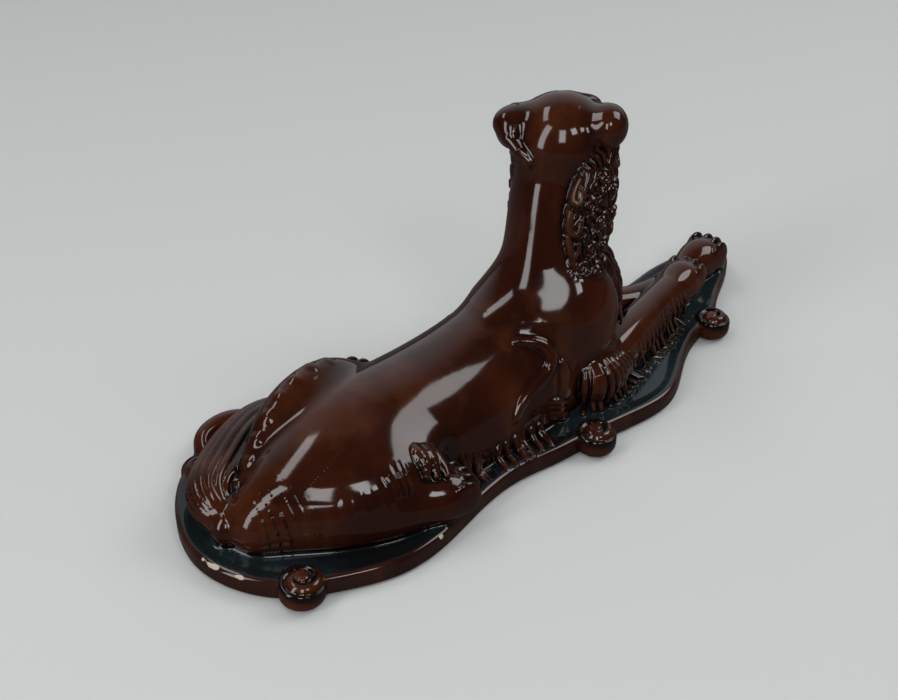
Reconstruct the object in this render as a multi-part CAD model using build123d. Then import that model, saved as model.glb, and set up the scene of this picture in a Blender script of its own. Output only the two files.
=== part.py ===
from build123d import *

import math
import os

# Recumbent spaniel mantel figure in glazed earthenware, in millimetres.
# The frame: +X is the way the dog lies, +Y is its left, +Z is up, and Z = 0 is the underside of the base.
# The figure is pressed from moulds as separate pieces, which are stuck together with slip before firing.

# The base: a flat slab with a wavy edge and rounded rim. Each corner of the outline is rounded off over this
# share of its shorter side.
BASE_THICKNESS = 9.0
RIM_ROUNDING = 3.0
BASE_OUTLINE = [
    (-165.2, 2), (-160, -19), (-146, -38), (-131, -47), (-109, -56), (-89, -57), (-61, -51.5), (-35, -49),
    (-15, -52), (4, -54), (31, -58), (52, -58), (74, -47), (98, -36), (114, -32), (131, -22), (150, -12),
    (166.3, 3), (157, 12), (142, 14), (121, 14.5), (97, 13), (72, 27), (48, 41), (20, 47), (-10, 47.5),
    (-38, 50), (-68, 57), (-98, 60), (-125, 54), (-146, 40), (-158, 23),
]
CORNER_SHARE = 0.45

# The hole in the base that lets steam and air out of the hollow body in the kiln.
VENT_DIAMETER = 14.0
VENT_PLACE = (-40, -5)

# Scroll bosses along the rim: place and radius of each round disc, and the raised eye in its middle.
SCROLLS = {
    "right_rear": (-143, -39, 9.5),
    "right_middle": (5, -55, 9.0),
    "right_front": (110, -35, 8.5),
    "left_rear": (-132, 41, 9.5),
    "left_middle": (20, 45, 9.0),
    "left_front": (73, 26, 8.5),
}
SCROLL_RISE = 1.5
SCROLL_HEIGHT = BASE_THICKNESS + SCROLL_RISE
SCROLL_ROUNDING = 2.5
SCROLL_EYE_RADIUS = 3.5
SCROLL_EYE_RISE = 1.5

# The curled rim lobe at the rear left: its path over the rim, each point with a half width and half height.
RIM_LOBE = [
    (-125, 48, -2, 5, 5), (-121, 55, -1, 6, 6), (-109, 57, 0, 7, 7), (-99, 52, -1, 6, 6), (-94, 47, -2, 4, 4),
]

# Wall of the hollow body and head.
WALL = 6.0

# The seam between the left and right halves of the body.
BODY_SEAM = -4.0

# The trunk from rump to breast: x, y, height of the middle above the deck, half width, half height.
TRUNK = [
    (-150, -1, 4, 6, 7),
    (-145, -3, 4.5, 11, 11),
    (-138, -6, 5.5, 15.5, 17),
    (-126, -7, 6, 21, 24),
    (-100, -5, 5, 31, 34),
    (-65, -5, 3, 34, 38),
    (-30, -5, 3, 33, 39),
    (0, -5, 5, 33, 42),
    (28, -4, 9, 31, 41),
    (47, -4, 11, 24, 33),
    (60, -4, 11, 12, 20),
]

# The neck from the shoulders to inside the skull: the same columns, with half width across and half depth.
NECK = [(22, -5, 38, 27, 27), (26, -3, 56, 21, 21), (31, 0, 76, 19.5, 19.5), (37.5, 3, 103, 20, 20)]
NECK_JOINT = 88.0

# Raised folds of skin behind the right shoulder: paths above the deck along the flank, which faces this way.
# Each is a row of swellings, longer than the stretch that it covers by the overlap.
SHOULDER_FOLD = [
    (-15, -20, 39.5), (-7, -26, 37.5), (-2, -31, 31.5), (-6, -33.5, 24.5), (-16, -34.5, 21), (-27, -36, 13),
]
ELBOW_FOLD = [(1, -30, 33.5), (3, -34.5, 25), (2, -36.5, 17), (0, -37, 10)]
FOLD_RADIUS = 3.2
FOLD_OVERLAP = 1.5
FLANK_FACING = (0, -1, 0.6)

# The tuft of hair on the breast below the throat: place above the deck and half sizes.
BREAST_TUFT = (44, -6, 37)
BREAST_TUFT_SIZE = (17, 17, 21)

# The head, looking to the dog's left with its right side a little higher. Places on it are from the middle of
# the skull.
SKULL_PLACE = (37.5, 3, 107)
HEAD_YAW = 33.0
HEAD_ROLL = -8.0
SKULL_SIZE = (21.5, 21, 20)
MUZZLE = [(8, 0, -6, 15, 14), (21, 0, -8, 13, 12), (30, 0, -10, 11, 10), (35, 0, -11, 8, 8)]
NOSE_PLACE = (34, 0, -6)
NOSE_SIZE = (5, 6, 4)
FACE_SEAM = 2.0

# One ear: the fold where it leaves the skull, and the flap that hangs straight down from it, as path, half
# thickness and half width. Their sideways places are from the side of the skull. The left ear sits lower than
# the right by the drop, and its flap lies closer in by the tuck.
EAR_FOLD_PLACE = (-2, -1.5, 9.5)
EAR_FOLD_SIZE = (10.5, 8.5, 9.5)
EAR_FLAP = [(0, -3.5, 8, 6.5, 10), (3, -4, -18, 6.5, 13), (2, -4, -40, 6.5, 13), (2, -4.5, -55, 4, 8)]
EAR_DROP = 5.0
EAR_TUCK = 2.5

# Long hair that falls behind the right flap, on the neck: path above the deck, half thickness and half width.
EAR_HAIR = [(42, -16, 110, 4, 7), (37, -18, 95, 5.5, 12), (32, -19.5, 77, 6, 13), (30, -21, 62, 5, 10)]

# Legs: paths with half widths and half heights, heights above the deck, and round masses as place, size and
# yaw.
RIGHT_SHOULDER = ((26, -24, 32), (17, 15, 27), 0)
RIGHT_ELBOW = ((25, -34, 10), (13, 11, 12), 12)
RIGHT_FOREARM = [
    (25, -34, 10, 10, 11), (57, -27, 11, 9.5, 11), (88, -18.5, 10, 8.5, 10), (110, -13, 9.5, 8.5, 9),
]
RIGHT_FOREPAW = ((112, -12.5, 9), (13, 9.5, 10), 15)
LEFT_SHOULDER = ((30, 12, 26), (15, 14, 22), 0)
LEFT_ELBOW = ((28, 24, 10), (13, 11, 12), -20)
LEFT_FOREARM = [
    (28, 24, 10, 10, 10), (55, 12, 8, 9, 9), (80, -1, 6, 8, 7), (100, -6, 5, 8, 7), (138, -3, 6, 8, 8),
]
LEFT_FOREPAW = ((139, -3, 7), (13, 9.5, 9.5), 4)
RIGHT_THIGH = ((-98, -24, 11), (42, 22, 22), -18)
RIGHT_FOOT = [(-112, -32, 7, 7, 8), (-96, -40, 7, 9, 9), (-76, -46, 8, 9, 9.5)]
RIGHT_HINDPAW = ((-76, -46.5, 8), (13, 10, 10), -14)
LEFT_THIGH = ((-92, 18, 17), (34, 16, 24), 10)
LEFT_FOOT = [(-94, 24, 7, 7, 8), (-76, 30, 7, 9, 9), (-58, 33, 8, 9, 9.5)]
LEFT_HINDPAW = ((-58, 33, 8), (13, 10, 10), 6)

# The frill of hair down the back of the left haunch.
FRILL = [
    (-70, 21, 27, 5, 6), (-84, 21, 34, 5.5, 6.5), (-97, 19, 34.5, 6, 6.5), (-109, 16, 31, 6, 6.5),
    (-119, 13, 25, 6, 6), (-128, 9, 18, 5.5, 5.5), (-134, 5, 10, 4.5, 5),
]

# The tail, laid round the dog's left side on the deck.
TAIL = [
    (-148, 2, 6, 6, 7), (-146, 12, 8, 10, 10), (-134, 22, 9, 12.5, 11), (-117, 32, 9, 12, 11),
    (-98, 40, 7, 10, 9), (-84, 45, 5, 5, 5),
]

# A block larger than the whole figure, for trimming away what lies below a level or on one side.
TRIM = 1000.0


def ellipsoid(place, size, yaw=0):
    """An ellipsoid of the given half sizes, turned about the vertical."""
    return Pos(*place) * Rot(0, 0, yaw) * scale(Sphere(1), by=size)


def tube(path, up=(0, 0, 1)):
    """A loft through ellipses that stand square to the path of their middles."""
    middles = [Vector(*row[:3]) for row in path]
    last = len(path) - 1
    sections = []
    for index, row in enumerate(path):
        ahead = middles[min(index + 1, last)] - middles[max(index - 1, 0)]
        across = Vector(*up).cross(ahead)
        sections.append(Plane(middles[index], x_dir=across, z_dir=ahead) * Ellipse(row[3], row[4]))
    return loft(sections)


def fold(path):
    """The swellings of a fold of skin, one for each stretch of its path."""
    points = [Vector(*point) for point in path]
    swellings = []
    for start, end in zip(points, points[1:]):
        ahead = end - start
        place = Plane((start + end) / 2, x_dir=ahead, z_dir=ahead.cross(Vector(*FLANK_FACING)))
        half = FOLD_OVERLAP * ahead.length / 2
        swellings.append(place * scale(Sphere(1), by=(half, FOLD_RADIUS, FOLD_RADIUS)))
    return swellings


def inset(path, by):
    """The same path with its half sizes made smaller all round."""
    return [(*row[:3], row[3] - by, row[4] - by) for row in path]


def keep_above(shape, level):
    """What lies above a level."""
    return shape - Pos(0, 0, level - TRIM / 2) * Box(TRIM, TRIM, TRIM)


def keep_below(shape, level):
    """What lies below a level."""
    return shape - Pos(0, 0, level + TRIM / 2) * Box(TRIM, TRIM, TRIM)


def on_deck(shape):
    """Lifts a shape from heights above the deck and trims it level with the deck."""
    return keep_above(Pos(0, 0, BASE_THICKNESS) * shape, BASE_THICKNESS)


def on_head(shape, roll=HEAD_ROLL):
    """Puts a shape given from the middle of the skull in its place."""
    x, y, z = SKULL_PLACE
    return Pos(x, y, BASE_THICKNESS + z) * Rot(0, 0, HEAD_YAW) * Rot(roll, 0, 0) * shape


def scroll(x, y, radius):
    """A round boss on the rim with a raised eye."""
    disc = Pos(x, y, SCROLL_HEIGHT / 2) * Cylinder(radius, SCROLL_HEIGHT)
    disc = fillet(disc.edges().group_by(Axis.Z)[-1], SCROLL_ROUNDING)
    eye = ellipsoid((x, y, SCROLL_HEIGHT), (SCROLL_EYE_RADIUS, SCROLL_EYE_RADIUS, SCROLL_EYE_RISE))
    return disc + eye


def corner_radii(outline):
    """The radius that rounds each corner of a closed outline over its share of the shorter side."""
    corners = [Vector(*point) for point in outline]
    radii = []
    for index, corner in enumerate(corners):
        into = corner - corners[index - 1]
        out = corners[(index + 1) % len(corners)] - corner
        half_turn = math.radians(into.get_angle(out) / 2)
        radii.append(CORNER_SHARE * min(into.length, out.length) / math.tan(half_turn))
    return radii


def slab():
    """The base slab with its rounded rim."""
    edge = FilletPolyline(*BASE_OUTLINE, radius=corner_radii(BASE_OUTLINE), close=True)
    plate = extrude(make_face(edge), BASE_THICKNESS)
    rims = plate.edges().group_by(Axis.Z)
    return fillet(rims[-1] + rims[0], RIM_ROUNDING)


def figure_outside():
    """Trunk, neck and head as one solid form, which everything stuck to them is trimmed by."""
    trunk = tube(TRUNK) + ellipsoid(BREAST_TUFT, BREAST_TUFT_SIZE)
    for swelling in fold(SHOULDER_FOLD) + fold(ELBOW_FOLD):
        trunk += swelling
    trunk = on_deck(trunk)
    neck = Pos(0, 0, BASE_THICKNESS) * tube(NECK, up=(1, 0, 0))
    skull = scale(Sphere(1), by=SKULL_SIZE)
    face = tube(MUZZLE) + ellipsoid(NOSE_PLACE, NOSE_SIZE)
    return trunk + neck + on_head(skull + face)


def figure_inside():
    """The hollow of trunk, neck and head, open at the deck."""
    trunk = on_deck(tube(inset(TRUNK[2:-1], WALL)))
    neck = Pos(0, 0, BASE_THICKNESS) * tube(inset(NECK, WALL), up=(1, 0, 0))
    skull = on_head(scale(Sphere(1), by=tuple(half - WALL for half in SKULL_SIZE)))
    return trunk + neck + skull


def ear(side, drop, tuck):
    """One ear with its fold and flap, on the left for 1 and on the right for -1."""
    cheek = SKULL_SIZE[1]
    x, y, z = EAR_FOLD_PLACE
    crease = ellipsoid((x, side * (cheek + y), z), EAR_FOLD_SIZE)
    flap = tube([(row[0], side * (cheek - tuck + row[1]), *row[2:]) for row in EAR_FLAP], up=(1, 0, 0))
    return Pos(0, 0, -drop) * on_head(crease + flap, roll=0)


def limb(path, *ends):
    """A leg or foot lying on the deck, with rounded ends."""
    shape = tube(path)
    for place, size, yaw in ends:
        shape += ellipsoid(place, size, yaw)
    return on_deck(shape)


def build():
    """All pieces of the figure by name."""
    outside = figure_outside()
    shell = outside - figure_inside()
    joint = BASE_THICKNESS + NECK_JOINT
    body = keep_below(shell, joint)
    head = keep_above(shell, joint)
    seam = Plane((0, BODY_SEAM, 0), x_dir=(1, 0, 0), z_dir=(0, 1, 0))
    face_seam = on_head(Plane((FACE_SEAM, 0, 0), x_dir=(0, 1, 0), z_dir=(1, 0, 0)).location)
    face_plane = Plane(face_seam)

    right_foreleg = limb(RIGHT_FOREARM, RIGHT_SHOULDER, RIGHT_ELBOW, RIGHT_FOREPAW) - outside
    left_foreleg = limb(LEFT_FOREARM, LEFT_SHOULDER, LEFT_ELBOW, LEFT_FOREPAW) - outside - right_foreleg
    right_hind_leg = limb(RIGHT_FOOT, RIGHT_THIGH, RIGHT_HINDPAW) - outside
    left_hind_leg = limb(LEFT_FOOT, LEFT_THIGH, LEFT_HINDPAW) + on_deck(tube(FRILL)) - outside

    scrolls = {name: scroll(*row) for name, row in SCROLLS.items()}
    tail = on_deck(tube(TAIL)) - outside - left_hind_leg - scrolls["left_rear"]
    rim_lobe = Pos(0, 0, BASE_THICKNESS) * tube(RIM_LOBE)
    rim_lobe = keep_above(rim_lobe, 0) - scrolls["left_rear"] - tail
    base = slab() - Pos(*VENT_PLACE, BASE_THICKNESS / 2) * Cylinder(VENT_DIAMETER / 2, 2 * BASE_THICKNESS)
    for boss in scrolls.values():
        base -= boss
    base -= rim_lobe

    ear_hair = Pos(0, 0, BASE_THICKNESS) * tube(EAR_HAIR, up=(1, 0, 0))
    pieces = {
        "base_plate": base,
        "body_left_shell": split(body, seam, keep=Keep.TOP),
        "body_right_shell": split(body, seam, keep=Keep.BOTTOM),
        "head_face_shell": split(head, face_plane, keep=Keep.TOP),
        "head_back_shell": split(head, face_plane, keep=Keep.BOTTOM),
        "left_ear": ear(1, EAR_DROP, EAR_TUCK) - outside - left_foreleg,
        "right_ear": ear(-1, 0, 0) + ear_hair - outside - right_foreleg,
        "left_foreleg": left_foreleg,
        "right_foreleg": right_foreleg,
        "left_hind_leg": left_hind_leg,
        "right_hind_leg": right_hind_leg,
        "tail": tail,
        "rim_lobe_left_rear": rim_lobe,
    }
    for name, boss in scrolls.items():
        pieces["scroll_" + name] = boss
    return pieces


def main():
    os.makedirs("parts", exist_ok=True)
    for name, piece in build().items():
        export_step(piece, f"parts/{name}.step")


if __name__ == "__main__":
    main()
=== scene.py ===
import math
from concurrent.futures import ThreadPoolExecutor

import bpy
import numpy as np
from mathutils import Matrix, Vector


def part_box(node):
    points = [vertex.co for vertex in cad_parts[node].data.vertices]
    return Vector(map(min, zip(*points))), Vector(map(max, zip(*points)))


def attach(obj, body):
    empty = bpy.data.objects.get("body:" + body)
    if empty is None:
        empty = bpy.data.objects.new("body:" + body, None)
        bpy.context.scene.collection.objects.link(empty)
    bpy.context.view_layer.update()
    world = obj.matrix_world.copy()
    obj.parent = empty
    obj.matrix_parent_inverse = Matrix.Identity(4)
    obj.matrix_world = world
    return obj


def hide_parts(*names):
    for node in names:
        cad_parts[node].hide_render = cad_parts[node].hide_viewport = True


bl_info = {
    "name": "Recumbent spaniel mantel figure",
    "version": (1, 0, 0),
    "blender": (4, 5, 0),
    "location": "View3D > Sidebar > Spaniel",
    "description": "Models and glazes a pottery spaniel lying on a scroll-edged base",
    "category": "Object",
}

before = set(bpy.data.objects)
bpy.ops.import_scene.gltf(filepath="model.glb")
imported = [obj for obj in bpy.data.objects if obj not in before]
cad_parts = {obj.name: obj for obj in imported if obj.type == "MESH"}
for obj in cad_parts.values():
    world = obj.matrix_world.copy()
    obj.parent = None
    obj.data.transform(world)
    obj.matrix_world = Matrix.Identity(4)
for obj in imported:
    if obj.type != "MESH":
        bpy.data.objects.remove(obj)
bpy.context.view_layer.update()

# Sizes are in millimetres from here on, with heights from the deck, which is the top of the base.
# +X is the way the dog lies and +Y is its left.

# The base: thickness, wavy outline, the raised rim round the deck, and the vent of the hollow body.
BASE_THICKNESS = 9.0
BASE_OUTLINE = [
    (-164, 2), (-160, -19), (-146, -38), (-131, -47), (-109, -56), (-89, -57), (-61, -51.5), (-35, -49),
    (-15, -52), (4, -54), (31, -58), (52, -58), (74, -47), (98, -36), (114, -32), (131, -22), (150, -12),
    (164, 3), (157, 12), (142, 14), (121, 14.5), (97, 13), (72, 27), (48, 41), (20, 47), (-10, 47.5),
    (-38, 50), (-68, 57), (-98, 60), (-125, 54), (-146, 40), (-158, 23),
]
RIM_WIDTH = 3.4
RIM_CREST = 0.3
DECK_DISH = 0.8
RIM_ROUNDING = 2.4
VENT_PLACE = (-40, -5)
VENT_RADIUS = 7.0
VENT_DEPTH = 12.0
VENT_OVERRUN = 10.0

# How deep the figure is set into the base, and how widely the glaze fills the angle between them.
SEAT = 3.0
DECK_FILLET = 2.4

# Stretches of the rim's edge where the glaze is chipped off to the cream clay: place, half length and half
# width, and how far in from the edge they lie.
CHIPS = [
    (-163, -8, 8, 1.2), (-158, -21, 4, 1.0), (-87, -57, 1.8, 1.5), (92, -40, 2.6, 1.3), (-20, -52, 1.6, 1.0),
    (29, -58, 2.0, 0.8), (-145, -39, 3.0, 1.2),
]
CHIP_INSET = 1.2

# Scroll bosses along the rim: the way each spiral's open end faces, in degrees.
SCROLL_FACINGS = {
    "right_rear": 60, "right_middle": 120, "right_front": 170,
    "left_rear": -60, "left_middle": -100, "left_front": -140,
}

# Trunk and neck: path, half width and half height. Breast: place and half sizes. Then how widely neck, breast
# and head are joined on.
TRUNK = [
    (-149, -1, 4, 6, 7), (-145, -3, 4.5, 11, 11), (-138, -6, 5.5, 15.5, 17), (-126, -7, 6, 21, 24),
    (-100, -5, 5, 31, 34), (-65, -5, 3, 34, 38), (-30, -5, 3, 33, 39), (0, -5, 5, 33, 42),
    (28, -4, 9, 31, 41), (47, -4, 11, 24, 33), (60, -4, 11, 12, 20),
]
NECK = [(22, -5, 38, 27, 27), (26, -3, 56, 21, 21), (31, 0, 76, 19.5, 19.5), (38.5, 3.5, 103, 18.5, 18.5)]
BREAST = ((44, -6, 37), (17, 17, 21))
NECK_JOINT = 16.0
BREAST_JOINT = 10.0
HEAD_JOINT = 6.0

# Raised folds of skin behind the right shoulder: paths, half thickness, and how far they stand out.
SHOULDER_FOLD = [
    (-13, -22, 40), (-7, -26, 38.5), (-2, -30, 35), (-1, -32, 30), (-4, -34, 26), (-10, -34, 23.5),
    (-16, -35, 21.5), (-22, -35.5, 18), (-27, -37, 13),
]
ELBOW_FOLD = [(3, -34, 28), (4, -35.5, 24), (3, -37, 17), (0, -38, 11)]
FOLD_THICKNESS = 3.2
FOLD_LIFT = -0.2

# The head looks to the dog's left with its right side a little higher. Places on it are from the skull's
# middle.
SKULL_PLACE = (37.5, 3, 107)
SKULL_SIZE = (20, 21, 20)
SKULL_FORWARD = 1.5
HEAD_YAW = 33.0
HEAD_ROLL = -8.0
MUZZLE = [(8, 0, -6, 15, 14), (21, 0, -8, 13, 12), (30, 0, -10, 11, 10), (35, 0, -11, 8, 8)]
NOSE = ((34, 0, -6), (5, 6, 4))
CHIN = ((25, 0, -17.5), (9, 6.5, 4.5))

# Flew, brow and cheek on the left side, which the right side mirrors: place, half sizes and how widely they
# are joined on.
FLESH = [((24, 6.5, -13), (11, 6.5, 8), 3.0), ((13, 9.5, 9), (7, 6, 4), 5.0), ((9, 13, -8), (10, 7, 9), 5.0)]

# Eyes and nostrils: place and half sizes. Furrow, lids and lips: path and half thickness.
EYE_SOCKET = ((18.5, 10.5, 3.5), (4.6, 4.6, 4.0))
EYEBALL = ((17.6, 10.0, 3.3), (3.9, 3.9, 3.6))
PUPIL = ((21.2, 12.0, 3.6), (1.3, 1.3, 1.3))
NOSTRIL = ((38.6, 3.0, -6.2), (1.5, 1.3, 1.5))
FURROW = [(25, 0, 3, 1.5), (20, 0, 12, 2.0), (10, 0, 21.5, 1.0)]
LIDS = [(22, 6.5, 3, 0.6), (21, 9.5, 6.6, 1.1), (17.5, 13, 6.2, 1.1), (14.5, 14.5, 3.4, 0.6)]
LIPS = [
    (37, 0.6, -12, 0.7), (32, 8, -14.5, 0.9), (25, 12, -17, 1.0), (17, 13.5, -15.5, 0.9), (11, 14, -12, 0.5),
]

# Ears: the fold where each leaves the skull, and its flap as path, half thickness and half width. The left
# ear hangs lower, and its flap lies closer to the head.
EAR_FOLD_PLACE = (-2, 19.5, 9.5)
EAR_FOLD_SIZE = (10.5, 8.5, 9.5)
EAR_FLAP = [(0, 17.5, 6, 6.5, 10), (3, 17, -18, 6.5, 13), (3, 17, -40, 6.5, 13.5), (3, 16.5, -54, 5, 11)]
EAR_DROP = 5.0
EAR_TUCK = 2.5

# Long hair that falls behind the right flap, on the neck: path, half thickness and half width.
EAR_HAIR = [(41, -15, 106, 4, 8), (37, -17.5, 94, 5.5, 12), (32, -19.5, 77, 6, 13), (30, -21, 62, 5, 10)]

# The ears' hair is charted by how far round from the face a place is, in degrees, and its height. Strands are
# combed downward on a neck of this radius, this far apart and this high, in waves of this swing and length.
HAIR_CHART_RADIUS = 23.0
HAIR_PITCH = 2.7
HAIR_HEIGHT = 1.3
HAIR_WAVE = 0.45
HAIR_WAVE_LENGTH = 12.0

# Curls that the strands coil up in: chart place, radius and hand. They bulge, have a groove round them, and
# push the strands beside them aside, out to this many times their radius.
EAR_CURLS = [
    (40, 100, 3.6, 1), (62, 104, 3.4, -1), (84, 98, 3.8, -1), (104, 92, 4.4, 1), (122, 99, 3.4, 1),
    (138, 90, 4.2, -1), (46, 88, 3.8, -1), (66, 90, 3.8, 1), (79, 84, 3.4, 1), (97, 80, 3.9, -1),
    (118, 81, 4.2, 1), (142, 78, 3.6, 1), (52, 76, 3.8, 1), (70, 73, 3.8, 1), (86, 70, 3.8, -1),
    (106, 68, 4.2, 1), (127, 70, 4.0, -1), (56, 63, 3.6, -1), (74, 61, 3.8, 1), (96, 58, 3.8, -1),
    (117, 60, 3.8, 1), (136, 63, 3.4, -1),
]
CURL_BULGE = 0.9
CURL_GROOVE = 0.8
CURL_GROOVE_WIDTH = 0.5
CURL_PUSH = 1.5

# Single locks at the hair's edges as chart places from root to tip, and half thickness. They are laid on from
# this radius, in this many points, and the left ear has none that starts farther round than its limit.
EAR_LOCK_RADIUS = 26.0
EAR_LOCK_POINTS = 14
LEFT_EAR_LIMIT = 106.0
EAR_LOCKS = [
    ([(160, 103), (160, 97), (154, 92), (148, 92), (147, 96), (151, 98)], 1.4),
    ([(158, 88), (158, 83), (152, 79), (145, 80), (145, 84)], 1.6),
    ([(160, 77), (157, 71), (150, 68), (143, 70), (143, 74)], 1.6),
    ([(150, 67), (144, 60), (134, 57), (127, 60)], 1.7),
    ([(118, 60), (119, 54), (115, 48)], 1.7), ([(108, 59), (110, 52), (107, 46)], 1.7),
    ([(99, 58), (100, 51), (98, 45)], 1.6), ([(90, 58), (92, 51), (89, 46)], 1.6),
    ([(80, 58), (81, 52), (78, 46)], 1.6),
]

# The edge of skin from the left fold to the neck: path and half thickness, and how widely it is joined on.
EAR_WEB = [(20, 19, 114, 5), (17, 13.5, 111, 3.6), (16, 7.5, 108, 2.4), (17, 2.5, 104, 1.4)]
EAR_WEB_JOINT = 2.8

# Legs: path with half width and half height, and round masses as place, half sizes and yaw.
RIGHT_SHOULDER = ((26, -24, 32), (17, 15, 27), 0)
RIGHT_ELBOW = ((25, -34, 10), (13, 11, 12), 12)
RIGHT_FOREARM = [
    (25, -34, 10, 10, 11), (57, -27, 11, 9.5, 11), (88, -18.5, 10, 8.5, 10), (110, -13, 9.5, 8.5, 9),
]
RIGHT_FOREPAW = ((112, -12.5, 9), (13, 9.5, 10), 15)
LEFT_SHOULDER = ((30, 12, 26), (15, 14, 22), 0)
LEFT_ELBOW = ((28, 24, 10), (13, 11, 12), -20)
LEFT_FOREARM = [
    (28, 24, 10, 10, 10), (55, 12, 8, 9, 9), (80, -1, 6, 8, 7), (100, -6, 5, 8, 7), (138, -3, 6, 8, 8),
]
LEFT_FOREPAW = ((139, -3, 7), (13, 9.5, 9.5), 4)
RIGHT_THIGH = ((-101, -24, 10), (38, 22, 22), -20)
RIGHT_FOOT = [(-112, -32, 7, 7, 8), (-96, -40, 7, 9, 9), (-76, -46, 8, 9, 9.5)]
RIGHT_HINDPAW = ((-76, -46.5, 8), (13, 10, 10), -14)
LEFT_THIGH = ((-92, 18, 17), (34, 16, 24), 10)
LEFT_FOOT = [(-94, 24, 7, 7, 8), (-76, 30, 7, 9, 9), (-58, 33, 8, 9, 9.5)]
LEFT_HINDPAW = ((-58, 33, 8), (13, 10, 10), 6)
LEG_JOINT = 5.0

# Toes of each paw: how many, how far apart, half sizes, and how widely they are joined to each other and to
# the paw.
TOES = 4
TOE_SPREAD = 4.8
TOE_SIZE = (7.0, 2.8, 8.2)
TOE_JOINT = 1.0
PAW_JOINT = 0.8

# The frill of hair down the back of the left haunch.
FRILL = [
    (-70, 21, 27, 5, 6), (-84, 21, 34, 5.5, 6.5), (-97, 19, 34.5, 6, 6.5), (-109, 16, 31, 6, 6.5),
    (-119, 13, 25, 6, 6), (-128, 9, 18, 5.5, 5.5), (-134, 5, 10, 4.5, 5),
]
FRILL_LOCKS = 7
FRILL_LOCK_THICKNESS = [3.0, 4.2, 3.0]
FRILL_LOCK_LIFT = -3.0
FRILL_JOINT = 3.0

# The tail lies round the left side, combed in ribs along its length.
TAIL = [
    (-148, 2, 6, 6, 7), (-146, 12, 8, 10, 10), (-134, 22, 9, 12.5, 11), (-117, 32, 9, 12, 11),
    (-98, 40, 7, 10, 9), (-84, 45, 5, 5, 5),
]
TAIL_RIBS = 19
TAIL_RIB_HEIGHT = 0.9

# The curled rim lobe at the rear left: its rolled edge, and its dished middle.
RIM_LOBE = [
    (-125, 48, -2, 4.5, 5), (-122, 54, 0, 5, 5.5), (-113, 57, 1.5, 5, 5.5), (-105, 55, 1, 5.5, 6),
    (-96, 49, -1, 5, 5),
]
RIM_LOBE_MIDDLE = ((-112, 49, -2), (11, 8, 5))
RIM_LOBE_DISH = ((-117, 48, 5), (6.5, 4.5, 4.5))

# The camera: the way it looks from, its distance from the point it looks at, and its lens on a 36 mm sensor.
CAMERA_AZIMUTH = -43.0
CAMERA_ELEVATION = 36.0
CAMERA_DISTANCE = 590.0
CAMERA_TARGET = (-34, -4, 45)
CAMERA_LENS = 56.1

# The floor: half its width in metres, its colour, and its colour as the glaze mirrors it.
FLOOR_HALF = 4
FLOOR_COLOUR = (0.60, 0.62, 0.61, 1)
FLOOR_MIRRORED = (0.10, 0.10, 0.10, 1)

# The studio's own light: its colour, its strength, what the pale side adds to it, and the way to that side.
STUDIO_COLOUR = (0.92, 0.96, 1.0, 1)
STUDIO_STRENGTH = 0.03
PALE_STRENGTH = 0.55
PALE_AZIMUTH = math.radians(47.0)
PALE_WAY = (math.cos(PALE_AZIMUTH) * 0.97, math.sin(PALE_AZIMUTH) * 0.97, 0.24)

# Lamps: azimuth and elevation in degrees, distance and size in metres, watts, and whether the glaze mirrors
# them.
LAMPS = {
    "lamp_top": (0, 88, 2.2, (2.6, 2.6), 14.5, False),
    "lamp_left": (174, 27, 1.5, (0.36, 1.4), 8.0, True),
    "lamp_high": (118, 58, 1.5, (0.9, 0.25), 3.0, True),
    "lamp_side": (-138, 37, 1.5, (0.35, 0.7), 4.5, True),
    "lamp_right": (-104, 45, 1.5, (0.3, 0.35), 2.3, True),
    "lamp_front": (-24, 44, 1.5, (0.75, 0.75), 7.0, True),
}
LAMP_AIM = Vector((0, 0, 0.04))

# How far round a lump its distances are worked out: while it is shaped, as hair, and as a finished piece.
REACH = 18.0
HAIR_REACH = 3.0
PIECE_REACH = {"body": 14.0, "right_hind_leg": 14.0, "right_foreleg": 12.0, "base_plate": 4.0}
OTHER_REACH = 8.0

# How widely the angle between a lock of hair and what it lies on is filled, and between a piece and the deck
# that its hair runs out on.
HAIR_FILL = 1.0
DECK_FILL = 3.0

# How far over the skin other clay is felt for, to tell where the glaze pools, and how deep under it, to tell
# where the glaze lies thin.
POOL_REACHES = (1.5, 5.0)
RIDGE_DEPTH = 2.0

# How far each piece runs on under its neighbours, so that no joint shows, how deep it sinks there, and how
# soon.
OVERLAP = 1.2
OVERLAP_SINK = 0.35
OVERLAP_SLOPE = 0.3

# Fields are worked out in chunks of this many points, sorted into cells of this width, on this many threads,
# and their slopes over this step.
CHUNK = 6000
CELL = 16.0
THREADS = 4
SLOPE_STEP = 0.12


def ease(value, low, high):
    """A smooth step from 0 at the low value to 1 at the high one."""
    share = np.clip((value - low) / (high - low), 0.0, 1.0)
    return share * share * (3.0 - 2.0 * share)


def lengths(vectors):
    """Lengths of vectors."""
    return np.sqrt(np.einsum("...i,...i->...", vectors, vectors))


def unit(vectors):
    """The same vectors with length 1."""
    return vectors / np.maximum(lengths(vectors), 1e-9)[..., None]


def soft_min(first, second, width):
    """The lesser of two distances, with the angle between them filled over a width."""
    overlap = np.maximum(width - np.abs(first - second), 0.0) / width
    return np.minimum(first, second) - overlap * overlap * width / 4.0


def turning(yaw, roll=0.0):
    """A matrix whose columns are the axes after a roll about x and then a yaw about z, in degrees."""
    c, s = math.cos(math.radians(yaw)), math.sin(math.radians(yaw))
    b, t = math.cos(math.radians(roll)), math.sin(math.radians(roll))
    return np.array([[c, -s, 0], [s, c, 0], [0, 0, 1]]) @ np.array([[1, 0, 0], [0, b, -t], [0, t, b]])


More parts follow.
